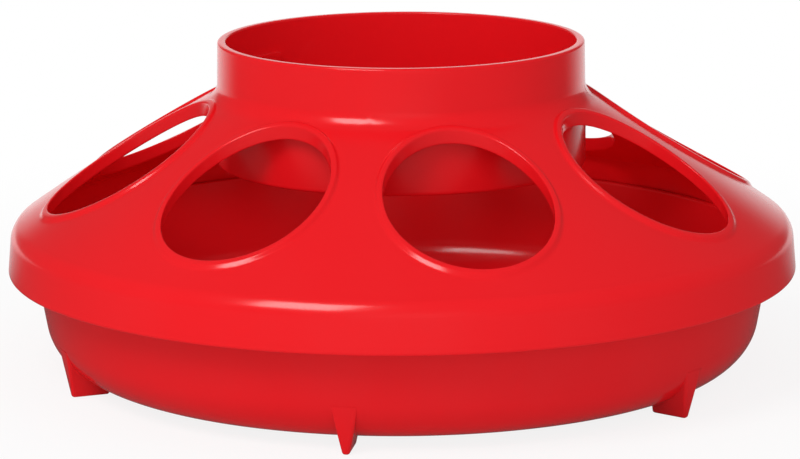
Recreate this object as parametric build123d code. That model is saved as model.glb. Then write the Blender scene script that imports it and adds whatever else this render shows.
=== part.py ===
from build123d import *
from math import cos, degrees, radians, tan
import os

# A feeder base for chicks: a domed cover with a screw collar for a jar, snapped on a round feed pan.
# Millimetres, +Z up. The origin is on the surface that the feet stand on, at the centre of the base.
# Bearings are measured from the front, which is -Y, towards +X.

# Heights
TOTAL_HEIGHT = 69.4
SKIRT_BOTTOM_Z = 22.0
SHOULDER_Z = 31.2
COLLAR_ROOT_Z = 58.4
TUBE_BOTTOM_Z = 43.8
PAN_UNDERSIDE_Z = 1.9

# Cover
COVER_WALL = 2.0
SKIRT_RADIUS = 82.1
SKIRT_DRAFT = 5.0
SHOULDER_ROUND = 4.5
DOME_BULGE = 0.72
COLLAR_ROOT_RADIUS = 38.2
COLLAR_TOP_RADIUS = 38.0
COLLAR_ROOT_ROUND = 4.0
COLLAR_BORE_RADIUS = 36.3
TUBE_OUTER_RADIUS = 38.3

# Jar stop: a ledge inside the collar that the jar's mouth is screwed down against
JAR_THREAD_DEPTH = 17.0
JAR_STOP_THICKNESS = 1.6
JAR_STOP_RADIUS = 33.4

# Feed holes, cut straight up and down, each with a raised lip
FEED_HOLES = 8
FIRST_HOLE_BEARING = 13.0
HOLE_CENTRE_RADIUS = 57.5
HOLE_RADIUS = 16.7
LIP_WIDTH = 1.6
LIP_RISE = 0.7
LIP_OUTER_ROUND = 0.6
LIP_INNER_ROUND = 0.35

# Pan
PAN_WALL = 2.0
PAN_RADIUS_AT_SKIRT = 76.26
PAN_DRAFT = 10.0
PAN_CORNER_ROUND = 10.9
FLANGE_BOTTOM_Z = 25.2
FLANGE_THICKNESS = 1.8
FLANGE_RADIUS = 79.0

# Spreading cone in the middle of the pan's floor
CONE_BASE_RADIUS = 29.0
CONE_HEIGHT = 12.0
CONE_TOP_RADIUS = 4.0
CONE_TOP_ROUND = 6.0
CONE_FOOT_ROUND = 7.0

# Feet: thin radial fins under the pan's rounded corner, their noses in line with the pan's wall
FEET = 6
FIRST_FOOT_BEARING = -8.8
FOOT_INNER_RADIUS = 64.7
FOOT_TOP_Z = 10.0
FOOT_TIP_WIDTH = 1.4
FOOT_SIDE_DRAFT = 11.7
FOOT_ROUND = 0.5

# The cover's seat on the pan: a ring that stands on the flange, and lugs that snap under it
STOP_RING_RADIUS = 76.6
STOP_RING_WALL = 1.5
SNAP_LUGS = 8
SNAP_LUG_WIDTH = 12.0
SNAP_LUG_RADIUS = 78.4
SNAP_LUG_HEIGHT = 2.0
SNAP_GAP = 0.2

# Edges
RIM_ROUND = 0.5
EDGE_ROUND = 0.6
INSIDE_ROUND = 1.5
CUT_MARGIN = 5.0

# Worked out from the dimensions above
SHOULDER_RADIUS = SKIRT_RADIUS - (SHOULDER_Z - SKIRT_BOTTOM_Z) * tan(radians(SKIRT_DRAFT))
JAR_STOP_Z = TOTAL_HEIGHT - JAR_THREAD_DEPTH
FLANGE_TOP_Z = FLANGE_BOTTOM_Z + FLANGE_THICKNESS
DOME_SLOPE = (COLLAR_ROOT_Z - SHOULDER_Z) / (SHOULDER_RADIUS - COLLAR_ROOT_RADIUS)
DOME_DEPTH = COVER_WALL * (1 + DOME_SLOPE**2) ** 0.5
LIP_OUTER_RADIUS = HOLE_RADIUS + LIP_WIDTH


def bearing(degrees):
    """Turns a thing made at the +X side to a bearing from the front."""
    return Rot(0, 0, degrees - 90)


def dome_arc(raised):
    """The dome's bulging line, in radius and height, from the shoulder in to the collar."""
    start = (SHOULDER_RADIUS, SHOULDER_Z + raised)
    end = (COLLAR_ROOT_RADIUS, COLLAR_ROOT_Z + raised)
    return SagittaArc(start, end, -DOME_BULGE)


def round_corner(profile, corner, radius):
    """Rounds the corner of a flat profile that is nearest to a point."""
    nearest = profile.vertices().sort_by_distance(Vector(*corner))[0]
    return fillet(nearest, radius)


def turn(profile):
    """Spins a profile drawn in radius and height about Z."""
    return revolve(Plane.XZ * profile, Axis.Z)


def cover_envelope():
    """The outside of the cover, solid through to the axis."""
    outline = (
        Polyline((0, SKIRT_BOTTOM_Z), (SKIRT_RADIUS, SKIRT_BOTTOM_Z), (SHOULDER_RADIUS, SHOULDER_Z))
        + dome_arc(0)
        + Polyline(
            (COLLAR_ROOT_RADIUS, COLLAR_ROOT_Z),
            (COLLAR_TOP_RADIUS, TOTAL_HEIGHT),
            (0, TOTAL_HEIGHT),
            (0, SKIRT_BOTTOM_Z),
        )
    )
    profile = make_face(outline)
    profile = round_corner(profile, (SHOULDER_RADIUS, SHOULDER_Z), SHOULDER_ROUND)
    profile = round_corner(profile, (COLLAR_ROOT_RADIUS, COLLAR_ROOT_Z), COLLAR_ROOT_ROUND)
    profile = round_corner(profile, (COLLAR_TOP_RADIUS, TOTAL_HEIGHT), RIM_ROUND)
    profile = round_corner(profile, (SKIRT_RADIUS, SKIRT_BOTTOM_Z), EDGE_ROUND)
    return turn(profile)


def cover_hollow():
    """The space under the dome, down the tube and up through the collar."""
    low = SKIRT_BOTTOM_Z - CUT_MARGIN
    high = TOTAL_HEIGHT + CUT_MARGIN
    draft = tan(radians(SKIRT_DRAFT))
    inner_skirt = SKIRT_RADIUS - COVER_WALL
    inner_shoulder = SHOULDER_RADIUS - COVER_WALL
    inner_shoulder_z = SHOULDER_Z - DOME_DEPTH + COVER_WALL * DOME_SLOPE
    tube_top_z = COLLAR_ROOT_Z - DOME_DEPTH
    outline = (
        Polyline(
            (TUBE_OUTER_RADIUS, tube_top_z),
            (TUBE_OUTER_RADIUS, TUBE_BOTTOM_Z),
            (COLLAR_BORE_RADIUS, TUBE_BOTTOM_Z),
            (COLLAR_BORE_RADIUS, JAR_STOP_Z - JAR_STOP_THICKNESS),
            (JAR_STOP_RADIUS, JAR_STOP_Z - JAR_STOP_THICKNESS),
            (JAR_STOP_RADIUS, JAR_STOP_Z),
            (COLLAR_BORE_RADIUS, JAR_STOP_Z),
            (COLLAR_BORE_RADIUS, high),
            (0, high),
            (0, low),
            (inner_skirt + CUT_MARGIN * draft, low),
            (inner_shoulder, inner_shoulder_z),
        )
        + SagittaArc((inner_shoulder, inner_shoulder_z), (TUBE_OUTER_RADIUS, tube_top_z), -DOME_BULGE)
    )
    profile = make_face(outline)
    profile = round_corner(profile, (inner_shoulder, inner_shoulder_z), SHOULDER_ROUND - COVER_WALL)
    profile = round_corner(profile, (TUBE_OUTER_RADIUS, tube_top_z), INSIDE_ROUND)
    profile = round_corner(profile, (TUBE_OUTER_RADIUS, TUBE_BOTTOM_Z), EDGE_ROUND)
    return turn(profile)


def hole_post(radius):
    """An upright cylinder at the +X side, on a feed hole's centre and through the whole height."""
    post = Cylinder(radius, TOTAL_HEIGHT, align=(Align.CENTER, Align.CENTER, Align.MIN))
    return Pos(HOLE_CENTRE_RADIUS, 0, 0) * post


def hole_lip():
    """The raised lip of one feed hole, with its two top edges rounded, let into the dome."""
    sunk = -DOME_DEPTH / 2
    band_outline = (
        dome_arc(LIP_RISE)
        + Line((COLLAR_ROOT_RADIUS, COLLAR_ROOT_Z + LIP_RISE), (COLLAR_ROOT_RADIUS, COLLAR_ROOT_Z + sunk))
        + dome_arc(sunk)
        + Line((SHOULDER_RADIUS, SHOULDER_Z + sunk), (SHOULDER_RADIUS, SHOULDER_Z + LIP_RISE))
    )
    lip = turn(make_face(band_outline)) & (hole_post(LIP_OUTER_RADIUS) - hole_post(HOLE_RADIUS))
    outer_edge, inner_edge = lip.faces().sort_by(Axis.Z)[-1].edges().sort_by(SortBy.LENGTH, reverse=True)
    lip = fillet(outer_edge, LIP_OUTER_ROUND)
    inner_edge = lip.edges().sort_by_distance(inner_edge.center())[0]
    return fillet(inner_edge, LIP_INNER_ROUND)


def stop_ring():
    """The ring under the dome that stands on the pan's flange."""
    wall_top_z = SHOULDER_Z + (SHOULDER_RADIUS - STOP_RING_RADIUS) * DOME_SLOPE - DOME_DEPTH / 2
    profile = Pos(STOP_RING_RADIUS, FLANGE_TOP_Z) * Rectangle(
        STOP_RING_WALL, wall_top_z - FLANGE_TOP_Z, align=(Align.MIN, Align.MIN)
    )
    return turn(profile)


def snap_lug():
    """One lug at the +X side of the skirt's inner face: a ramp below, square above to hold the flange."""
    top_z = FLANGE_BOTTOM_Z - SNAP_GAP
    skirt_inside = SKIRT_RADIUS - COVER_WALL / 2
    side_view = Polyline(
        (skirt_inside, top_z),
        (SNAP_LUG_RADIUS, top_z),
        (SNAP_LUG_RADIUS, top_z - SNAP_LUG_HEIGHT / 3),
        (skirt_inside, top_z - SNAP_LUG_HEIGHT),
        close=True,
    )
    spread = degrees(SNAP_LUG_WIDTH / SNAP_LUG_RADIUS)
    lug = revolve(Plane.XZ * make_face(side_view), Axis.Z, spread)
    return Rot(0, 0, -spread / 2) * lug


def make_cover():
    """The whole cover as one moulding."""
    cover = cover_envelope() - cover_hollow()
    cover += stop_ring()
    web_bearing = FIRST_HOLE_BEARING + 180 / FEED_HOLES
    cover += [bearing(web_bearing + 360 / SNAP_LUGS * k) * snap_lug() for k in range(SNAP_LUGS)]
    hole_turns = [bearing(FIRST_HOLE_BEARING + 360 / FEED_HOLES * k) for k in range(FEED_HOLES)]
    lip = hole_lip()
    cover += [place * lip for place in hole_turns]
    cover -= [place * hole_post(HOLE_RADIUS) for place in hole_turns]
    return cover


def pan_wall_radius(z):
    """The outer radius of the pan's drafted wall at a height."""
    return PAN_RADIUS_AT_SKIRT - (SKIRT_BOTTOM_Z - z) * tan(radians(PAN_DRAFT))


def pan_envelope():
    """The outside of the pan, solid inside, without its feet."""
    outline = Polyline(
        (0, PAN_UNDERSIDE_Z + CONE_HEIGHT),
        (CONE_TOP_RADIUS, PAN_UNDERSIDE_Z + CONE_HEIGHT),
        (CONE_BASE_RADIUS, PAN_UNDERSIDE_Z),
        (pan_wall_radius(PAN_UNDERSIDE_Z), PAN_UNDERSIDE_Z),
        (pan_wall_radius(FLANGE_BOTTOM_Z), FLANGE_BOTTOM_Z),
        (FLANGE_RADIUS, FLANGE_BOTTOM_Z),
        (FLANGE_RADIUS, FLANGE_TOP_Z),
        (0, FLANGE_TOP_Z),
        close=True,
    )
    profile = make_face(outline)
    profile = round_corner(profile, (CONE_TOP_RADIUS, PAN_UNDERSIDE_Z + CONE_HEIGHT), CONE_TOP_ROUND)
    profile = round_corner(profile, (CONE_BASE_RADIUS, PAN_UNDERSIDE_Z), CONE_FOOT_ROUND + PAN_WALL)
    profile = round_corner(profile, (pan_wall_radius(PAN_UNDERSIDE_Z), PAN_UNDERSIDE_Z), PAN_CORNER_ROUND)
    profile = round_corner(profile, (FLANGE_RADIUS, FLANGE_TOP_Z), EDGE_ROUND)
    return turn(profile)


def pan_hollow():
    """The feed trough round the spreading cone."""
    floor_z = PAN_UNDERSIDE_Z + PAN_WALL
    high = FLANGE_TOP_Z + CUT_MARGIN
    side_wall = PAN_WALL / cos(radians(PAN_DRAFT))
    outline = Polyline(
        (0, floor_z + CONE_HEIGHT),
        (CONE_TOP_RADIUS, floor_z + CONE_HEIGHT),
        (CONE_BASE_RADIUS, floor_z),
        (pan_wall_radius(floor_z) - side_wall, floor_z),
        (pan_wall_radius(high) - side_wall, high),
        (0, high),
        close=True,
    )
    profile = make_face(outline)
    profile = round_corner(profile, (CONE_TOP_RADIUS, floor_z + CONE_HEIGHT), CONE_TOP_ROUND + PAN_WALL)
    profile = round_corner(profile, (CONE_BASE_RADIUS, floor_z), CONE_FOOT_ROUND)
    inner_corner = (pan_wall_radius(floor_z) - side_wall, floor_z)
    profile = round_corner(profile, inner_corner, PAN_CORNER_ROUND - PAN_WALL)
    return turn(profile)


def foot():
    """One fin at the +X side: its side view, narrowed towards the tip by the draft of its two faces."""
    side_view = Polyline(
        (FOOT_INNER_RADIUS, 0),
        (pan_wall_radius(0), 0),
        (pan_wall_radius(FOOT_TOP_Z), FOOT_TOP_Z),
        (FOOT_INNER_RADIUS, FOOT_TOP_Z),
        close=True,
    )
    blade = extrude(Plane.XZ * make_face(side_view), FOOT_TOP_Z, both=True)
    spread = FOOT_TIP_WIDTH / 2 + FOOT_TOP_Z * tan(radians(FOOT_SIDE_DRAFT))
    end_view = Polyline(
        (-FOOT_TIP_WIDTH / 2, 0),
        (FOOT_TIP_WIDTH / 2, 0),
        (spread, FOOT_TOP_Z),
        (-spread, FOOT_TOP_Z),
        close=True,
    )
    wedge = extrude(Plane.YZ * make_face(end_view), PAN_RADIUS_AT_SKIRT + CUT_MARGIN)
    fin = blade & wedge
    tip = fin.faces().sort_by(Axis.Z)[0]
    nose = fin.faces().sort_by(Axis.X)[-1]
    across = nose.edges().sort_by(Axis.Y)
    return fillet(tip.edges() + [across[0], across[-1]], FOOT_ROUND)


def make_pan():
    """The whole pan as one moulding."""
    pan = pan_envelope()
    pan += [bearing(FIRST_FOOT_BEARING + 360 / FEET * k) * foot() for k in range(FEET)]
    return pan - pan_hollow()


os.makedirs("parts", exist_ok=True)
export_step(make_cover(), "parts/cover.step")
export_step(make_pan(), "parts/pan.step")
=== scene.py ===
from math import atan2, cos, hypot, pi, radians, sin, tan

import bmesh
import bpy
import numpy as np
from bpy.props import FloatProperty, FloatVectorProperty, IntProperty, PointerProperty
from mathutils import Matrix, Vector


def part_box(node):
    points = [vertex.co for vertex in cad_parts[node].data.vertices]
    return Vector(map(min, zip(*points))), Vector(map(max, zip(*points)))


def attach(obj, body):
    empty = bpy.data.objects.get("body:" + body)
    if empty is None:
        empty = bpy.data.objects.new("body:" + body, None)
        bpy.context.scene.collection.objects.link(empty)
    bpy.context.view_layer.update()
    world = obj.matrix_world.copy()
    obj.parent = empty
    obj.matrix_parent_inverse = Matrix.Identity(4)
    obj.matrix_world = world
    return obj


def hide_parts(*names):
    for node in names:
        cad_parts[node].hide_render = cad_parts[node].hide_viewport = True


bl_info = {
    "name": "Chick Feeder Base",
    "version": (1, 0, 0),
    "blender": (4, 5, 0),
    "location": "3D View > Sidebar > Feeder",
    "description": "Makes the dressed cover and pan of a screw-on chick feeder base, and its studio",
    "category": "Add Mesh",
}

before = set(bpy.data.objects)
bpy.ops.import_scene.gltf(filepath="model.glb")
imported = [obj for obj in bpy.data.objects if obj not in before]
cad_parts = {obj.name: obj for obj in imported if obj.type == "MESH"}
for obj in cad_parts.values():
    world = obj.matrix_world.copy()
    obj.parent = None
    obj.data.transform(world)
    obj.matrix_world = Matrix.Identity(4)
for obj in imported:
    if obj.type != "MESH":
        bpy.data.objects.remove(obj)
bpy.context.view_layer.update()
COVER_LOW, COVER_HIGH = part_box("cover")

MM = 0.001
MERGE = 0.0005 * MM
TURN_STEPS = 384
SHARP_ANGLE = radians(38)


# Sizes and colours


def length(name, description, millimetres):
    """A length property that is given in millimetres and kept in metres."""
    return FloatProperty(
        name=name, description=description, default=millimetres * MM, unit="LENGTH", subtype="DISTANCE"
    )


class FeederCoverSizes(bpy.types.PropertyGroup):
    """The cover's sizes."""

    height: FloatProperty(
        name="Height",
        description="Height of the collar's rim above the ground",
        default=COVER_HIGH.z,
        unit="LENGTH",
        subtype="DISTANCE",
    )
    skirt_foot: FloatProperty(
        name="Skirt foot",
        description="Height of the skirt's lower edge above the ground",
        default=COVER_LOW.z,
        unit="LENGTH",
        subtype="DISTANCE",
    )
    wall: length("Wall", "Thickness of the moulding", 2.0)
    skirt_radius: length("Skirt radius", "Outer radius of the skirt at its lower edge", 82.1)
    shoulder_radius: length("Shoulder radius", "Radius of the corner between skirt and dome", 81.295)
    shoulder_height: length("Shoulder height", "Height of the corner between skirt and dome", 31.2)
    shoulder_round: length("Shoulder round", "Rounding of the shoulder", 4.5)
    dome_bulge: length("Dome bulge", "How far the dome bulges over a straight cone", 0.72)
    root_radius: length("Collar root radius", "Outer radius of the collar at the dome", 38.2)
    root_height: length("Collar root height", "Height where the dome meets the collar", 58.4)
    root_round: length("Collar root round", "Rounding between dome and collar", 4.0)
    rim_radius: length("Rim radius", "Outer radius of the collar at its rim", 38.0)
    bore_radius: length("Bore radius", "Inner radius of the collar", 36.3)
    tube_radius: length("Tube radius", "Outer radius of the tube under the dome", 38.3)
    tube_foot: length("Tube foot", "Height of the tube's lower end", 43.8)
    stop_height: length("Jar stop height", "Height of the ledge that the jar's mouth meets", 52.4)
    stop_radius: length("Jar stop radius", "Inner radius of that ledge", 33.4)
    stop_thickness: length("Jar stop thickness", "Thickness of that ledge", 1.6)
    hole_ring: length("Hole ring radius", "Distance of the feed holes' centres from the axis", 57.5)
    hole_radius: length("Hole radius", "Radius of a feed hole", 16.7)
    lip_width: length("Lip width", "Width of the raised lip round a feed hole", 1.6)
    lip_rise: length("Lip rise", "Height of the raised lip above the dome", 0.7)
    holes: IntProperty(name="Feed holes", description="Number of feed holes", default=8, min=3)
    first_hole: FloatProperty(
        name="First hole",
        description="Bearing of the first feed hole from the front, anticlockwise from above",
        default=radians(13),
        subtype="ANGLE",
    )


class FeederPanSizes(bpy.types.PropertyGroup):
    """The pan's sizes."""

    wall: length("Wall", "Thickness of the moulding", 2.0)
    underside: length("Underside", "Height of the pan's underside above the ground", 1.9)
    wall_foot: length("Wall foot radius", "Outer radius that the wall would have at the underside", 72.716)
    draft: FloatProperty(
        name="Draft", description="Lean of the pan's wall", default=radians(10), subtype="ANGLE"
    )
    corner_round: length("Corner round", "Rounding between wall and underside", 10.9)
    flange_radius: length("Flange radius", "Outer radius of the rim flange", 79.0)
    flange_foot: length("Flange foot", "Height of the flange's lower face", 25.2)
    flange_thickness: length("Flange thickness", "Thickness of the flange", 1.8)
    cone_radius: length("Cone radius", "Radius of the spreading cone at the floor", 29.0)
    cone_height: length("Cone height", "Height of the spreading cone", 12.0)
    cone_top: length("Cone top radius", "Radius of the cone's top", 4.0)
    feet: IntProperty(name="Feet", description="Number of feet", default=6, min=3)
    first_foot: FloatProperty(
        name="First foot",
        description="Bearing of the first foot from the front, anticlockwise from above",
        default=radians(-8.8),
        subtype="ANGLE",
    )


class FeederFinish(bpy.types.PropertyGroup):
    """The plastic's colour and gloss."""

    cover_colour: FloatVectorProperty(
        name="Cover colour", description="Body colour of the cover", subtype="COLOR", default=(0.86, 0.0085, 0.0135)
    )
    # The pan's red is set lower than the cover's, although both are the same plastic. This is painted shade, standing
    # in for the shade under the skirt's overhang.
    pan_colour_painted_shade: FloatVectorProperty(
        name="Pan colour", description="Body colour of the pan", subtype="COLOR", default=(0.80, 0.0085, 0.0135)
    )
    roughness: FloatProperty(
        name="Roughness", description="Roughness of the moulded face", default=0.17, min=0, max=1, subtype="FACTOR"
    )


class FeederStudio(bpy.types.PropertyGroup):
    """The camera and the lights."""

    camera_distance: FloatProperty(
        name="Camera distance",
        description="Distance from the camera to its target",
        default=0.773006,
        unit="LENGTH",
        subtype="DISTANCE",
    )
    camera_height_angle: FloatProperty(
        name="Camera elevation", description="Angle that the camera looks down by", default=0.20984712, subtype="ANGLE"
    )
    camera_roll: FloatProperty(
        name="Camera roll", description="Turn of the camera about its view", default=-0.0053129, subtype="ANGLE"
    )
    lens: FloatProperty(
        name="Lens", description="Focal length on a 36 mm sensor", default=166.224, unit="CAMERA"
    )
    key_power: FloatProperty(
        name="Key power", description="Power of the lamp at the upper left", default=6.0, min=0, subtype="POWER"
    )
    fill_power: FloatProperty(
        name="Fill power", description="Power of the lamp in front", default=2.2, min=0, subtype="POWER"
    )
    world_light: FloatProperty(
        name="World light", description="Brightness of the even light all round", default=0.55, min=0, max=1
    )
    front_gloss: FloatProperty(
        name="Front gloss", description="Brightness of what the plastic mirrors in front", default=0.10, min=0, max=1
    )
    floor_white: FloatProperty(
        name="Floor white", description="How far the floor by the object is lifted to white", default=0.86, min=0, max=1
    )


# Building helpers


def rounded_line(corners):
    """Points of a line in radius and height, with each corner (radius, height, rounding, steps) rounded."""
    bm = bmesh.new()
    verts = [bm.verts.new((corner[0], 0, corner[1])) for corner in corners]
    for start, end in zip(verts, verts[1:]):
        bm.edges.new((start, end))
    for before, corner, after, vert in zip(corners, corners[1:], corners[2:], verts[1:]):
        if len(corner) == 2:
            continue
        into = Vector(corner[:2]) - Vector(before[:2])
        out = Vector(after[:2]) - Vector(corner[:2])
        bmesh.ops.bevel(
            bm,
            geom=[vert],
            offset=corner[2] * tan(into.angle(out) / 2),
            offset_type="OFFSET",
            segments=corner[3],
            profile=0.5,
            affect="VERTICES",
            material=-1,
        )
    points = [(verts[0].co.x, verts[0].co.z)]
    previous, vert = None, verts[0]
    while True:
        onward = [edge.other_vert(vert) for edge in vert.link_edges if edge.other_vert(vert) is not previous]
        if not onward:
            break
        previous, vert = vert, onward[0]
        points.append((vert.co.x, vert.co.z))
    bm.free()
    return points


def held(points, distance):
    """The same line with a point near both ends of each long stretch, which keeps its shading flat."""
    kept = [points[0]]
    for start, end in zip(points, points[1:]):
        start, end = Vector(start), Vector(end)
        span = (end - start).length
        if span > 4 * distance:
            kept.append(tuple(start.lerp(end, distance / span)))
            kept.append(tuple(end.lerp(start, distance / span)))
        kept.append(tuple(end))
    return kept


def turned(points):
    """A new bmesh with the line spun round the Z axis."""
    bm = bmesh.new()
    verts = [bm.verts.new((radius, 0, height)) for radius, height in points]
    edges = [bm.edges.new(pair) for pair in zip(verts, verts[1:])]
    bmesh.ops.spin(
        bm,
        geom=verts + edges,
        cent=(0, 0, 0),
        axis=(0, 0, 1),
        dvec=(0, 0, 0),
        angle=2 * pi,
        steps=TURN_STEPS,
        use_merge=True,
    )
    return bm


def add_to(bm, other):
    """Moves another bmesh's faces into this one."""
    mesh = bpy.data.meshes.new("passing")
    other.to_mesh(mesh)
    other.free()
    bm.from_mesh(mesh)
    bpy.data.meshes.remove(mesh)


def raise_pads(bm, low, high, wall, bearings, half_width, reach, lead_in=0, soften=0):
    """Pushes pads in from an inner wall: the faces between two heights, round each bearing, go in to a radius."""
    innermost, outermost = wall - WALL_BAND[0], wall + WALL_BAND[1]
    for bearing in bearings:
        faces = []
        for face in bm.faces:
            centre = face.calc_center_median()
            if not (low < centre.z < high and innermost < hypot(centre.x, centre.y) < outermost):
                continue
            away = (atan2(centre.y, centre.x) - bearing + pi) % (2 * pi) - pi
            if abs(away) < half_width:
                faces.append(face)
        pushed = bmesh.ops.extrude_face_region(bm, geom=faces)["geom"]
        bmesh.ops.delete(bm, geom=faces, context="FACES")
        tops = [item for item in pushed if isinstance(item, bmesh.types.BMVert)]
        for vert in tops:
            share = min(1.0, (vert.co.z - low) / lead_in) if lead_in else 1.0
            radius = hypot(vert.co.x, vert.co.y)
            scale = (radius + (reach - radius) * share) / radius
            vert.co.x *= scale
            vert.co.y *= scale
        if soften:
            cap = {item for item in pushed if isinstance(item, bmesh.types.BMFace)}
            rim = [
                item
                for item in pushed
                if isinstance(item, bmesh.types.BMEdge) and sum(face in cap for face in item.link_faces) == 1
            ]
            bmesh.ops.bevel(
                bm,
                geom=rim,
                offset=soften,
                offset_type="OFFSET",
                segments=3,
                profile=0.5,
                affect="EDGES",
                material=-1,
                clamp_overlap=True,
            )


def finish_mesh(bm, name, turn):
    """Closes the seams, points the faces outward, turns the piece to its bearing and makes its object."""
    bmesh.ops.remove_doubles(bm, verts=bm.verts, dist=MERGE)
    bmesh.ops.dissolve_degenerate(bm, edges=bm.edges, dist=MERGE)
    bmesh.ops.recalc_face_normals(bm, faces=bm.faces)
    bmesh.ops.rotate(bm, verts=bm.verts, cent=(0, 0, 0), matrix=Matrix.Rotation(turn, 3, "Z"))
    open_edges = sum(not edge.is_manifold for edge in bm.edges)
    if open_edges:
        raise RuntimeError(f"{name} has {open_edges} open edges")
    if bm.calc_volume(signed=True) < 0:
        bmesh.ops.reverse_faces(bm, faces=bm.faces)
    for face in bm.faces:
        face.smooth = True
    mesh = bpy.data.meshes.new(name)
    bm.to_mesh(mesh)
    bm.free()
    mesh.set_sharp_from_angle(angle=SHARP_ANGLE)
    piece = bpy.data.objects.new(name, mesh)
    bpy.context.scene.collection.objects.link(piece)
    return piece


# Cover

SECTOR_STEPS = TURN_STEPS // 8
SIDE_STEPS = 28
NEAR_STEPS = 8
NEAR_SPACING = 0.6 * MM
DOME_STEP = MM
DOME_FIRST_STEP = 3  # clear of the round at the collar's root
ROOT_STEPS = 32
TOP_RINGS = 8
UNDER_RINGS = 4
OUTER_BOUND = 78.0 * MM
UNDER_INNER_BOUND = 39.9 * MM
UNDER_OUTER_BOUND = 75.8 * MM
LIP_FLARE = 0.55 * MM
LIP_FOOT_ROUND = 0.6 * MM
LIP_OUTER_ROUND = 0.45 * MM
LIP_INNER_ROUND = 0.35 * MM
HOLE_FOOT_ROUND = 0.3 * MM
HOLD = 0.25 * MM
STOP_RING_RADIUS = 76.6 * MM
STOP_RING_WALL = 1.5 * MM
STOP_RING_FOOT = 27.0 * MM
STOP_RING_ROUND = 0.25 * MM
SKIRT_DRAFT = radians(5)
SKIRT_FOOT_ROUND = 0.6 * MM
SKIRT_INNER_ROUND = 0.4 * MM
UNDER_SHOULDER_ROUND = 1.2 * MM
RIM_OUTER_ROUND = 0.5 * MM
RIM_INNER_ROUND = 0.35 * MM
TUBE_FOOT_ROUND = 0.6 * MM
TUBE_ROOT_ROUND = 0.8 * MM
STOP_UNDER_ROUND = 0.4 * MM
SMALL_ROUND = 0.3 * MM
SCREW_LUG_HEIGHT = (60.6 * MM, 62.8 * MM)
SCREW_LUG_REACH = 35.2 * MM
SCREW_LUG_ROUND = 0.7 * MM
SCREW_LUG_HALF_WIDTH = radians(7)
SCREW_LUG_FIRST = radians(221)  # from the first feed hole
SCREW_LUGS = 3
SNAP_LUG_HEIGHT = (22.9 * MM, 24.9 * MM)
SNAP_LUG_REACH = 78.4 * MM
SNAP_LUG_LEAD_IN = 1.2 * MM
SNAP_LUG_HALF_WIDTH = radians(4.3)
WALL_BAND = (MM, 0.1 * MM)  # how far inside and outside a wall's radius its own faces may lie


class DomeSheet:
    """The outside of the dome with its root round, as a sheet: distance down from the collar, and bearing."""

    def __init__(self, sizes):
        self.sizes = sizes
        self.span = sizes.shoulder_radius - sizes.root_radius
        self.slope = (sizes.root_height - sizes.shoulder_height) / self.span
        self.depth = sizes.wall * hypot(1, self.slope)
        root = sizes.root_radius
        count = int((OUTER_BOUND - root) / DOME_STEP)
        radii = [root + step * DOME_STEP for step in range(DOME_FIRST_STEP, count + 1)] + [OUTER_BOUND]
        dome = [(radius, self.dome(radius)) for radius in radii]
        corners = [(sizes.rim_radius, sizes.height), (root, sizes.root_height, sizes.root_round, ROOT_STEPS)] + dome
        line = rounded_line(corners)[1:]
        self.radii = [point[0] for point in line]
        self.heights = [point[1] for point in line]
        self.along = [0.0]
        for start, end in zip(line, line[1:]):
            self.along.append(self.along[-1] + hypot(end[0] - start[0], end[1] - start[1]))

    def dome(self, radius):
        """Height of the dome's bulging line at a radius."""
        share = (self.sizes.shoulder_radius - radius) / self.span
        bulge = 4 * self.sizes.dome_bulge * hypot(1, self.slope) * share * (1 - share)
        return self.sizes.shoulder_height + share * self.span * self.slope + bulge

    def under(self, radius):
        """Height of the dome's underside at a radius."""
        return self.dome(radius) - self.depth

    def flat(self, x, y):
        """Distance down the sheet, and bearing, of a place seen from above."""
        return float(np.interp(hypot(x, y), self.radii, self.along)), atan2(y, x)

    def place(self, down, bearing):
        """The point of the outside at a distance down the sheet and a bearing."""
        radius = float(np.interp(down, self.along, self.radii))
        height = float(np.interp(down, self.along, self.heights))
        return Vector((radius * cos(bearing), radius * sin(bearing), height))


def draw_in(bm, loop, places):
    """Extrudes a closed loop of vertices once and puts the new loop's vertices at the given places."""
    edges = [
        next(edge for edge in vert.link_edges if after in edge.verts) for vert, after in zip(loop, loop[1:] + loop[:1])
    ]
    made = bmesh.ops.extrude_edge_only(bm, edges=edges)["geom"]
    fresh = {item for item in made if isinstance(item, bmesh.types.BMVert)}
    new_loop = [
        next(edge.other_vert(vert) for edge in vert.link_edges if edge.other_vert(vert) in fresh) for vert in loop
    ]
    for vert, place in zip(new_loop, places):
        vert.co = place
    return new_loop


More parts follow.
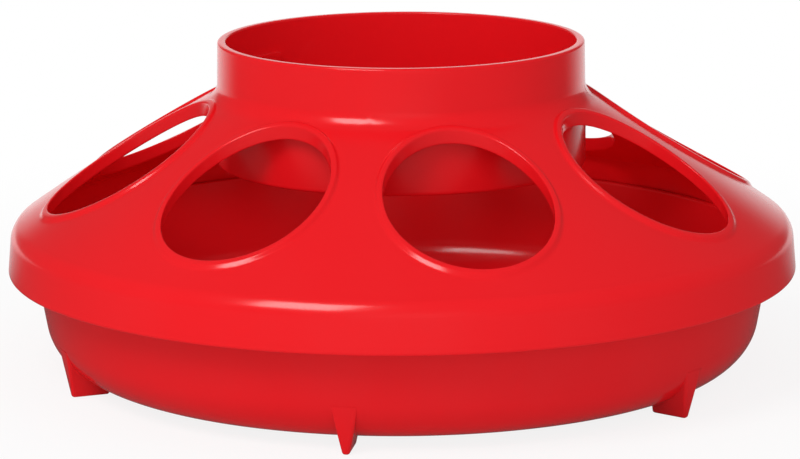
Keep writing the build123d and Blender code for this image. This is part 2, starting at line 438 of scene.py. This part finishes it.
def hole_sector(sizes, sheet):
    """One eighth of the dome with its feed hole at the +X side: outside, raised lip, hole wall and underside."""
    half = pi / sizes.holes
    bearings = [half * (2 * step / SECTOR_STEPS - 1) for step in range(SECTOR_STEPS + 1)]
    sheet_length = sheet.along[-1]
    near = [NEAR_SPACING * step for step in range(1, NEAR_STEPS + 1)]
    far_count = SIDE_STEPS - NEAR_STEPS
    far = [near[-1] + (sheet_length - near[-1]) * step / far_count for step in range(1, far_count)]
    side = near + far
    border = [(0.0, bearing) for bearing in bearings]
    border += [(down, half) for down in side]
    border += [(sheet_length, bearing) for bearing in reversed(bearings)]
    border += [(down, -half) for down in reversed(side)]

    bm = bmesh.new()
    loop = [bm.verts.new(sheet.place(*spot)) for spot in border]
    for vert, after in zip(loop, loop[1:] + loop[:1]):
        bm.edges.new((vert, after))
    rays = []
    for vert in loop:
        ray = Vector((vert.co.x - sizes.hole_ring, vert.co.y))
        rays.append(ray.normalized())

    def around(distance):
        """Places seen from above on a circle round the hole, one on each ray."""
        return [(sizes.hole_ring + ray.x * distance, ray.y * distance) for ray in rays]

    lip_radius = sizes.hole_radius + sizes.lip_width
    foot = [sheet.flat(*spot) for spot in around(lip_radius + LIP_FOOT_ROUND + HOLD)]
    for ring in range(1, TOP_RINGS + 1):
        share = ring / TOP_RINGS
        places = [
            sheet.place(start[0] + (end[0] - start[0]) * share, start[1] + (end[1] - start[1]) * share)
            for start, end in zip(border, foot)
        ]
        loop = draw_in(bm, loop, places)

    lip_line = rounded_line(
        [
            (lip_radius + LIP_FOOT_ROUND + HOLD, 0),
            (lip_radius, 0, LIP_FOOT_ROUND, 4),
            (lip_radius - LIP_FLARE, sizes.lip_rise, LIP_OUTER_ROUND, 5),
            (sizes.hole_radius, sizes.lip_rise, LIP_INNER_ROUND, 4),
            (sizes.hole_radius, 0),
        ]
    )
    for distance, rise in lip_line[1:]:
        places = []
        for spot in around(distance):
            place = sheet.place(*sheet.flat(*spot))
            covered = (place.z - sheet.dome(hypot(*spot))) / sizes.lip_rise
            place.z += rise * (1 - min(1.0, max(0.0, covered)))
            places.append(place)
        loop = draw_in(bm, loop, places)

    hole_foot = rounded_line(
        [
            (sizes.hole_radius, HOLE_FOOT_ROUND + HOLD),
            (sizes.hole_radius, 0, HOLE_FOOT_ROUND, 3),
            (sizes.hole_radius + HOLE_FOOT_ROUND + HOLD, 0),
        ]
    )
    for distance, rise in hole_foot:
        places = [Vector((*spot, sheet.under(hypot(*spot)) + rise)) for spot in around(distance)]
        loop = draw_in(bm, loop, places)

    inner = around(sizes.hole_radius + HOLE_FOOT_ROUND + HOLD)
    for ring in range(1, UNDER_RINGS + 1):
        share = ring / UNDER_RINGS
        places = []
        for spot, (down, bearing) in zip(inner, border):
            edge_radius = UNDER_INNER_BOUND + (UNDER_OUTER_BOUND - UNDER_INNER_BOUND) * down / sheet_length
            radius = hypot(*spot) * (1 - share) + edge_radius * share
            turn = atan2(spot[1], spot[0]) * (1 - share) + bearing * share
            places.append(Vector((radius * cos(turn), radius * sin(turn), sheet.under(radius))))
        loop = draw_in(bm, loop, places)
    return bm


def collar_line(sizes, sheet):
    """The collar and the tube below it, from the dome's root over the rim and down inside to the underside."""
    lug_low, lug_high = SCREW_LUG_HEIGHT
    stop_under = sizes.stop_height - sizes.stop_thickness
    return [
        (sheet.radii[0], sheet.heights[0]),
        (sizes.rim_radius, sizes.height, RIM_OUTER_ROUND, 5),
        (sizes.bore_radius, sizes.height, RIM_INNER_ROUND, 4),
        (sizes.bore_radius, lug_high),
        (sizes.bore_radius, lug_low),
        (sizes.bore_radius, sizes.stop_height, SMALL_ROUND, 3),
        (sizes.stop_radius, sizes.stop_height, SMALL_ROUND, 3),
        (sizes.stop_radius, stop_under, SMALL_ROUND, 3),
        (sizes.bore_radius, stop_under, STOP_UNDER_ROUND, 3),
        (sizes.bore_radius, sizes.tube_foot, SMALL_ROUND, 3),
        (sizes.tube_radius, sizes.tube_foot, TUBE_FOOT_ROUND, 4),
        (sizes.tube_radius, sheet.under(sizes.tube_radius), TUBE_ROOT_ROUND, 5),
        (UNDER_INNER_BOUND, sheet.under(UNDER_INNER_BOUND)),
    ]


def skirt_line(sizes, sheet):
    """The shoulder and the skirt, from the dome round the skirt's edge and up inside, with the stop ring."""
    inner_foot = sizes.skirt_radius - sizes.wall
    inner_shoulder = sizes.shoulder_radius - sizes.wall
    ring_outside = STOP_RING_RADIUS + STOP_RING_WALL
    lug_low, lug_high = SNAP_LUG_HEIGHT

    def inside(height):
        """The skirt's inner face at a height."""
        return (inner_foot - (height - sizes.skirt_foot) * tan(SKIRT_DRAFT), height)

    return [
        (OUTER_BOUND, sheet.dome(OUTER_BOUND)),
        (sizes.shoulder_radius, sizes.shoulder_height, sizes.shoulder_round, 10),
        (sizes.skirt_radius, sizes.skirt_foot, SKIRT_FOOT_ROUND, 5),
        (inner_foot, sizes.skirt_foot, SKIRT_INNER_ROUND, 4),
        inside(lug_low),
        inside(lug_high),
        (inner_shoulder, sheet.under(inner_shoulder), UNDER_SHOULDER_ROUND, 5),
        (ring_outside, sheet.under(ring_outside), SMALL_ROUND, 3),
        (ring_outside, STOP_RING_FOOT, STOP_RING_ROUND, 3),
        (STOP_RING_RADIUS, STOP_RING_FOOT, STOP_RING_ROUND, 3),
        (STOP_RING_RADIUS, sheet.under(STOP_RING_RADIUS), SMALL_ROUND, 3),
        (UNDER_OUTER_BOUND, sheet.under(UNDER_OUTER_BOUND)),
    ]


class OBJECT_OT_feeder_cover(bpy.types.Operator):
    """Makes the cover: collar, tube, domed top with its raised feed holes, skirt, lugs and stop ring"""

    bl_idname = "object.feeder_cover"
    bl_label = "Make Cover"

    def execute(self, context):
        sizes = context.scene.feeder_cover
        sheet = DomeSheet(sizes)
        bm = hole_sector(sizes, sheet)
        bmesh.ops.spin(
            bm,
            geom=bm.verts[:] + bm.edges[:] + bm.faces[:],
            cent=(0, 0, 0),
            axis=(0, 0, 1),
            dvec=(0, 0, 0),
            angle=2 * pi * (sizes.holes - 1) / sizes.holes,
            steps=sizes.holes - 1,
            use_duplicate=True,
        )
        add_to(bm, turned(held(rounded_line(collar_line(sizes, sheet)), HOLD)))
        add_to(bm, turned(held(rounded_line(skirt_line(sizes, sheet)), HOLD)))
        bmesh.ops.remove_doubles(bm, verts=bm.verts, dist=MERGE)
        raise_pads(
            bm,
            *SCREW_LUG_HEIGHT,
            wall=sizes.bore_radius,
            bearings=[SCREW_LUG_FIRST + 2 * pi / SCREW_LUGS * lug for lug in range(SCREW_LUGS)],
            half_width=SCREW_LUG_HALF_WIDTH,
            reach=SCREW_LUG_REACH,
            soften=SCREW_LUG_ROUND,
        )
        raise_pads(
            bm,
            *SNAP_LUG_HEIGHT,
            wall=sizes.skirt_radius - sizes.wall,
            bearings=[2 * pi / sizes.holes * (lug + 0.5) for lug in range(sizes.holes)],
            half_width=SNAP_LUG_HALF_WIDTH,
            reach=SNAP_LUG_REACH,
            lead_in=SNAP_LUG_LEAD_IN,
        )
        piece = finish_mesh(bm, "domed_cover", sizes.first_hole - pi / 2)
        piece.data.materials.append(moulded_plastic("moulded_red_cover", context.scene.feeder_finish.cover_colour))
        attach(piece, "root")
        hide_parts("cover")
        return {"FINISHED"}


# Pan

CONE_TOP_ROUND = 6.0 * MM
CONE_FOOT_ROUND = 7.0 * MM
FLANGE_EDGE_ROUND = 0.6 * MM
FLANGE_ROOT_ROUND = 0.4 * MM
FOOT_INNER = 64.7 * MM
FOOT_TOP = 10.0 * MM
FOOT_TIP_HALF = 0.7 * MM
FOOT_SIDE_DRAFT = radians(11.7)
FOOT_NOSE_ROUND = 0.6 * MM
FOOT_EDGE_ROUND = 0.45 * MM
FIN_ARC_START = radians(-18)
FIN_ARC_END = radians(-83.4)
FIN_ARC_STEPS = 12


def pan_wall(sizes, height):
    """Outer radius of the pan's straight wall at a height."""
    return sizes.wall_foot + (height - sizes.underside) * tan(sizes.draft)


def pan_line(sizes):
    """The pan's section, from the middle of the cone over the trough and the flange to the underside."""
    floor = sizes.underside + sizes.wall
    flange_top = sizes.flange_foot + sizes.flange_thickness
    wall_across = sizes.wall / cos(sizes.draft)
    return [
        (0, floor + sizes.cone_height),
        (sizes.cone_top, floor + sizes.cone_height, CONE_TOP_ROUND + sizes.wall, 8),
        (sizes.cone_radius, floor, CONE_FOOT_ROUND, 8),
        (pan_wall(sizes, floor) - wall_across, floor, sizes.corner_round - sizes.wall, 14),
        (pan_wall(sizes, flange_top) - wall_across, flange_top, SMALL_ROUND, 3),
        (sizes.flange_radius, flange_top, FLANGE_EDGE_ROUND, 4),
        (sizes.flange_radius, sizes.flange_foot, FLANGE_EDGE_ROUND, 4),
        (pan_wall(sizes, sizes.flange_foot), sizes.flange_foot, FLANGE_ROOT_ROUND, 3),
        (sizes.wall_foot, sizes.underside, sizes.corner_round, 18),
        (sizes.cone_radius, sizes.underside, CONE_FOOT_ROUND + sizes.wall, 8),
        (sizes.cone_top, sizes.underside + sizes.cone_height, CONE_TOP_ROUND, 8),
        (0, sizes.underside + sizes.cone_height),
    ]


def foot_fin(sizes):
    """One foot at the +X side: a thin fin that reaches into the pan's wall, narrower towards its tip."""
    centre = Vector(
        (
            pan_wall(sizes, sizes.underside + sizes.corner_round) - sizes.corner_round / cos(sizes.draft),
            sizes.underside + sizes.corner_round,
        )
    )
    buried = sizes.corner_round - sizes.wall / 2
    side_view = [(FOOT_INNER, 0), (pan_wall(sizes, 0), 0), (pan_wall(sizes, FOOT_TOP), FOOT_TOP)]
    for step in range(FIN_ARC_STEPS + 1):
        angle = FIN_ARC_START + (FIN_ARC_END - FIN_ARC_START) * step / FIN_ARC_STEPS
        side_view.append((centre.x + buried * cos(angle), centre.y + buried * sin(angle)))
    bm = bmesh.new()
    side = bm.faces.new([bm.verts.new((x, -1, z)) for x, z in side_view])
    made = bmesh.ops.extrude_face_region(bm, geom=[side], use_keep_orig=True)["geom"]
    for item in made:
        if isinstance(item, bmesh.types.BMVert):
            item.co.y = 1
    for vert in bm.verts:
        vert.co.y *= FOOT_TIP_HALF + vert.co.z * tan(FOOT_SIDE_DRAFT)
    bmesh.ops.recalc_face_normals(bm, faces=bm.faces)

    def round_off(edges, radius, steps):
        """Rounds some edges of the fin."""
        bmesh.ops.bevel(
            bm,
            geom=edges,
            offset=radius,
            offset_type="OFFSET",
            segments=steps,
            profile=0.5,
            affect="EDGES",
            material=-1,
            clamp_overlap=True,
        )

    nose = []
    for edge in bm.edges:
        low, high = sorted(edge.verts, key=lambda vert: vert.co.z)
        if low.co.z < MERGE and low.co.x > pan_wall(sizes, 0) - MERGE and high.co.z > FOOT_TOP - MERGE:
            nose.append(edge)
    round_off(nose, FOOT_NOSE_ROUND, 5)
    round_off([edge for edge in bm.edges if all(vert.co.z < MERGE for vert in edge.verts)], FOOT_EDGE_ROUND, 4)
    return bm


def weld(piece, addition):
    """Joins two closed pieces into one closed mesh, and removes the second."""
    union = piece.modifiers.new("weld", "BOOLEAN")
    union.operation = "UNION"
    union.solver = "EXACT"
    union.object = addition
    graph = bpy.context.evaluated_depsgraph_get()
    welded = bpy.data.meshes.new_from_object(piece.evaluated_get(graph), depsgraph=graph)
    piece.modifiers.clear()
    old = piece.data
    welded.name = piece.name
    piece.data = welded
    bpy.data.meshes.remove(old)
    bpy.data.objects.remove(addition)


class OBJECT_OT_feeder_pan(bpy.types.Operator):
    """Makes the pan: trough, rim flange, spreading cone and feet"""

    bl_idname = "object.feeder_pan"
    bl_label = "Make Pan"

    def execute(self, context):
        sizes = context.scene.feeder_pan
        piece = finish_mesh(turned(held(rounded_line(pan_line(sizes)), HOLD)), "feed_pan", 0)
        feet = bmesh.new()
        for foot in range(sizes.feet):
            fin = foot_fin(sizes)
            turn = sizes.first_foot - pi / 2 + 2 * pi * foot / sizes.feet
            bmesh.ops.rotate(fin, verts=fin.verts, cent=(0, 0, 0), matrix=Matrix.Rotation(turn, 3, "Z"))
            add_to(feet, fin)
        weld(piece, finish_mesh(feet, "feet", 0))
        piece.data.set_sharp_from_angle(angle=SHARP_ANGLE)
        piece.data.materials.clear()
        # The pan's material takes the lower red, which carries the painted shade under the skirt.
        piece.data.materials.append(moulded_plastic("moulded_red_pan", context.scene.feeder_finish.pan_colour_painted_shade))
        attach(piece, "root")
        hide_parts("pan")
        return {"FINISHED"}


# Finish

PLASTIC_IOR = 1.49
CLOUD_SCALE = 18
RUB_SCALE = 55
WAVE_SCALE = 160
WAVE_HEIGHT = 0.15 * MM


def noise(tree, coordinates, scale, detail):
    """A noise pattern's output at a scale."""
    pattern = tree.nodes.new("ShaderNodeTexNoise")
    pattern.inputs["Scale"].default_value = scale
    pattern.inputs["Detail"].default_value = detail
    tree.links.new(coordinates, pattern.inputs["Vector"])
    return pattern.outputs["Fac"]


def moulded_plastic(name, colour):
    """Glossy moulded plastic: a slightly uneven colour, a faint waviness and rubbed patches in the gloss."""
    finish = bpy.context.scene.feeder_finish
    material = bpy.data.materials.new(name)
    material.use_nodes = True
    tree = material.node_tree
    shader = tree.nodes["Principled BSDF"]
    shader.inputs["IOR"].default_value = PLASTIC_IOR
    place = tree.nodes.new("ShaderNodeTexCoord").outputs["Object"]

    red, green, blue = colour
    tint = tree.nodes.new("ShaderNodeMix")
    tint.data_type = "RGBA"
    tint.inputs["A"].default_value = (red * 0.96, green * 0.85, blue * 0.85, 1)
    tint.inputs["B"].default_value = (min(1, red * 1.03), green * 1.15, blue * 1.15, 1)
    tree.links.new(noise(tree, place, CLOUD_SCALE, 3), tint.inputs["Factor"])
    tree.links.new(tint.outputs["Result"], shader.inputs["Base Color"])

    gloss = tree.nodes.new("ShaderNodeMapRange")
    gloss.inputs["From Min"].default_value = 0.3
    gloss.inputs["From Max"].default_value = 0.75
    gloss.inputs["To Min"].default_value = finish.roughness * 0.9
    gloss.inputs["To Max"].default_value = finish.roughness * 1.2
    tree.links.new(noise(tree, place, RUB_SCALE, 6), gloss.inputs["Value"])
    tree.links.new(gloss.outputs["Result"], shader.inputs["Roughness"])

    bump = tree.nodes.new("ShaderNodeBump")
    bump.inputs["Strength"].default_value = 0.06
    bump.inputs["Distance"].default_value = WAVE_HEIGHT
    tree.links.new(noise(tree, place, WAVE_SCALE, 2), bump.inputs["Height"])
    tree.links.new(bump.outputs["Normal"], shader.inputs["Normal"])
    return material


# Studio

CAMERA_TARGET = Vector((-0.4057 * MM, 0, 29.02 * MM))
LAMP_TARGET = Vector((0, 0, 0.03))
KEY_PLACE = Vector((-0.481, -0.741, 0.914))
KEY_SIZE = 0.5
FILL_PLACE = Vector((0, -1.22, 0.29))
FILL_SIZE = 0.8
FLOOR_HALF = 3.0
PAPER = (0.95, 0.95, 0.95, 1)
SHADOW_REACH = (0.09, 0.26)
FLOOR_BEHIND = (0.45, 0.9)
WORLD_BEHIND = (0.86, 1.0)


def softbox(name, place, size, power):
    """A square area lamp at a place, turned to the object."""
    lamp = bpy.data.lights.new(name, "AREA")
    lamp.shape = "SQUARE"
    lamp.size = size
    lamp.energy = power
    holder = bpy.data.objects.new(name, lamp)
    holder.location = place
    holder.rotation_euler = (LAMP_TARGET - place).to_track_quat("-Z", "Y").to_euler()
    bpy.context.scene.collection.objects.link(holder)
    return holder


def mixed(tree, share, first, second):
    """A node that blends two numbers, each one a value or another node's output."""
    mix = tree.nodes.new("ShaderNodeMix")
    for socket, value in (("Factor", share), ("A", first), ("B", second)):
        if isinstance(value, bpy.types.NodeSocket):
            tree.links.new(value, mix.inputs[socket])
        else:
            mix.inputs[socket].default_value = value
    return mix.outputs["Result"]


def ramped(tree, value, span, low):
    """A node that rises softly from a low value to 1 while its input crosses a span."""
    ramp = tree.nodes.new("ShaderNodeMapRange")
    ramp.interpolation_type = "SMOOTHSTEP"
    ramp.inputs["From Min"].default_value, ramp.inputs["From Max"].default_value = span
    ramp.inputs["To Min"].default_value = low
    ramp.inputs["To Max"].default_value = 1.0
    tree.links.new(value, ramp.inputs["Value"])
    return ramp.outputs["Result"]


def white_floor(studio):
    """White paper that takes the object's shadow, whiter away from it, and dim in front for reflections."""
    material = bpy.data.materials.new("white_paper")
    material.use_nodes = True
    tree = material.node_tree
    paper = tree.nodes["Principled BSDF"]
    paper.inputs["Base Color"].default_value = PAPER
    paper.inputs["Roughness"].default_value = 1.0
    paper.inputs["Specular IOR Level"].default_value = 0.0
    place = tree.nodes.new("ShaderNodeTexCoord")
    path = tree.nodes.new("ShaderNodeLightPath")
    away = tree.nodes.new("ShaderNodeVectorMath")
    away.operation = "LENGTH"
    tree.links.new(place.outputs["Object"], away.inputs[0])
    heading = tree.nodes.new("ShaderNodeVectorMath")
    heading.operation = "NORMALIZE"
    tree.links.new(place.outputs["Object"], heading.inputs[0])
    across = tree.nodes.new("ShaderNodeSeparateXYZ")
    tree.links.new(heading.outputs["Vector"], across.inputs[0])

    whiter = ramped(tree, away.outputs["Value"], SHADOW_REACH, studio.floor_white)
    seen = mixed(tree, path.outputs["Is Camera Ray"], 0.0, whiter)
    share = mixed(tree, path.outputs["Is Glossy Ray"], seen, 1.0)
    behind = ramped(tree, across.outputs["Y"], FLOOR_BEHIND, studio.front_gloss)
    glow = tree.nodes.new("ShaderNodeEmission")
    tree.links.new(mixed(tree, path.outputs["Is Glossy Ray"], 1.0, behind), glow.inputs["Strength"])
    blend = tree.nodes.new("ShaderNodeMixShader")
    tree.links.new(share, blend.inputs["Fac"])
    tree.links.new(paper.outputs["BSDF"], blend.inputs[1])
    tree.links.new(glow.outputs["Emission"], blend.inputs[2])
    tree.links.new(blend.outputs["Shader"], tree.nodes["Material Output"].inputs["Surface"])
    return material


def studio_world(studio):
    """Even soft light, white to the camera, and for reflections white behind the object and dim in front."""
    world = bpy.data.worlds.new("studio_world")
    world.use_nodes = True
    tree = world.node_tree
    background = tree.nodes["Background"]
    background.inputs["Color"].default_value = (1, 1, 1, 1)
    place = tree.nodes.new("ShaderNodeTexCoord")
    path = tree.nodes.new("ShaderNodeLightPath")
    across = tree.nodes.new("ShaderNodeSeparateXYZ")
    tree.links.new(place.outputs["Generated"], across.inputs[0])
    behind = ramped(tree, across.outputs["Y"], WORLD_BEHIND, studio.front_gloss)
    level = mixed(tree, path.outputs["Is Glossy Ray"], studio.world_light, behind)
    level = mixed(tree, path.outputs["Is Transmission Ray"], level, 1.0)
    level = mixed(tree, path.outputs["Is Camera Ray"], level, 1.0)
    tree.links.new(level, background.inputs["Strength"])
    return world


class OBJECT_OT_feeder_studio(bpy.types.Operator):
    """Makes the floor, the surroundings, the lights and the camera"""

    bl_idname = "object.feeder_studio"
    bl_label = "Make Studio"

    def execute(self, context):
        scene = context.scene
        studio = scene.feeder_studio
        scene.view_settings.view_transform = "Standard"

        bm = bmesh.new()
        bmesh.ops.create_grid(bm, x_segments=2, y_segments=2, size=FLOOR_HALF)
        mesh = bpy.data.meshes.new("floor")
        bm.to_mesh(mesh)
        bm.free()
        floor = bpy.data.objects.new("floor", mesh)
        scene.collection.objects.link(floor)
        floor.data.materials.append(white_floor(studio))
        scene.world = studio_world(studio)

        softbox("key_lamp", KEY_PLACE, KEY_SIZE, studio.key_power)
        front = softbox("front_fill", FILL_PLACE, FILL_SIZE, studio.fill_power)
        front.visible_glossy = False

        back = Vector((0, -cos(studio.camera_height_angle), sin(studio.camera_height_angle)))
        camera = bpy.data.cameras.new("photo_camera")
        camera.lens = studio.lens
        camera.sensor_width = 36
        camera.clip_start = 0.05
        camera.clip_end = 10
        holder = bpy.data.objects.new("photo_camera", camera)
        holder.location = CAMERA_TARGET + back * studio.camera_distance
        holder.rotation_mode = "QUATERNION"
        look = Matrix.Rotation(pi / 2 - studio.camera_height_angle, 4, "X")
        holder.rotation_quaternion = (look @ Matrix.Rotation(studio.camera_roll, 4, "Z")).to_quaternion()
        scene.collection.objects.link(holder)
        scene.camera = holder
        return {"FINISHED"}


# Add-on


class VIEW3D_PT_feeder(bpy.types.Panel):
    """The feeder base's tools and sizes"""

    bl_label = "Chick Feeder Base"
    bl_idname = "VIEW3D_PT_feeder"
    bl_space_type = "VIEW_3D"
    bl_region_type = "UI"
    bl_category = "Feeder"

    def draw(self, context):
        layout = self.layout
        for operator in (OBJECT_OT_feeder_cover, OBJECT_OT_feeder_pan, OBJECT_OT_feeder_studio):
            layout.operator(operator.bl_idname)
        scene = context.scene
        for group in (scene.feeder_cover, scene.feeder_pan, scene.feeder_finish, scene.feeder_studio):
            column = layout.column(align=True)
            for key in group.bl_rna.properties.keys():
                if key not in ("rna_type", "name"):
                    column.prop(group, key)


CLASSES = (
    FeederCoverSizes,
    FeederPanSizes,
    FeederFinish,
    FeederStudio,
    OBJECT_OT_feeder_cover,
    OBJECT_OT_feeder_pan,
    OBJECT_OT_feeder_studio,
    VIEW3D_PT_feeder,
)


def register():
    for cls in CLASSES:
        bpy.utils.register_class(cls)
    bpy.types.Scene.feeder_cover = PointerProperty(type=FeederCoverSizes)
    bpy.types.Scene.feeder_pan = PointerProperty(type=FeederPanSizes)
    bpy.types.Scene.feeder_finish = PointerProperty(type=FeederFinish)
    bpy.types.Scene.feeder_studio = PointerProperty(type=FeederStudio)


def unregister():
    del bpy.types.Scene.feeder_studio
    del bpy.types.Scene.feeder_finish
    del bpy.types.Scene.feeder_pan
    del bpy.types.Scene.feeder_cover
    for cls in reversed(CLASSES):
        bpy.utils.unregister_class(cls)


def main():
    register()
    bpy.ops.object.feeder_cover()
    bpy.ops.object.feeder_pan()
    bpy.ops.object.feeder_studio()


if __name__ == "__main__":
    main()
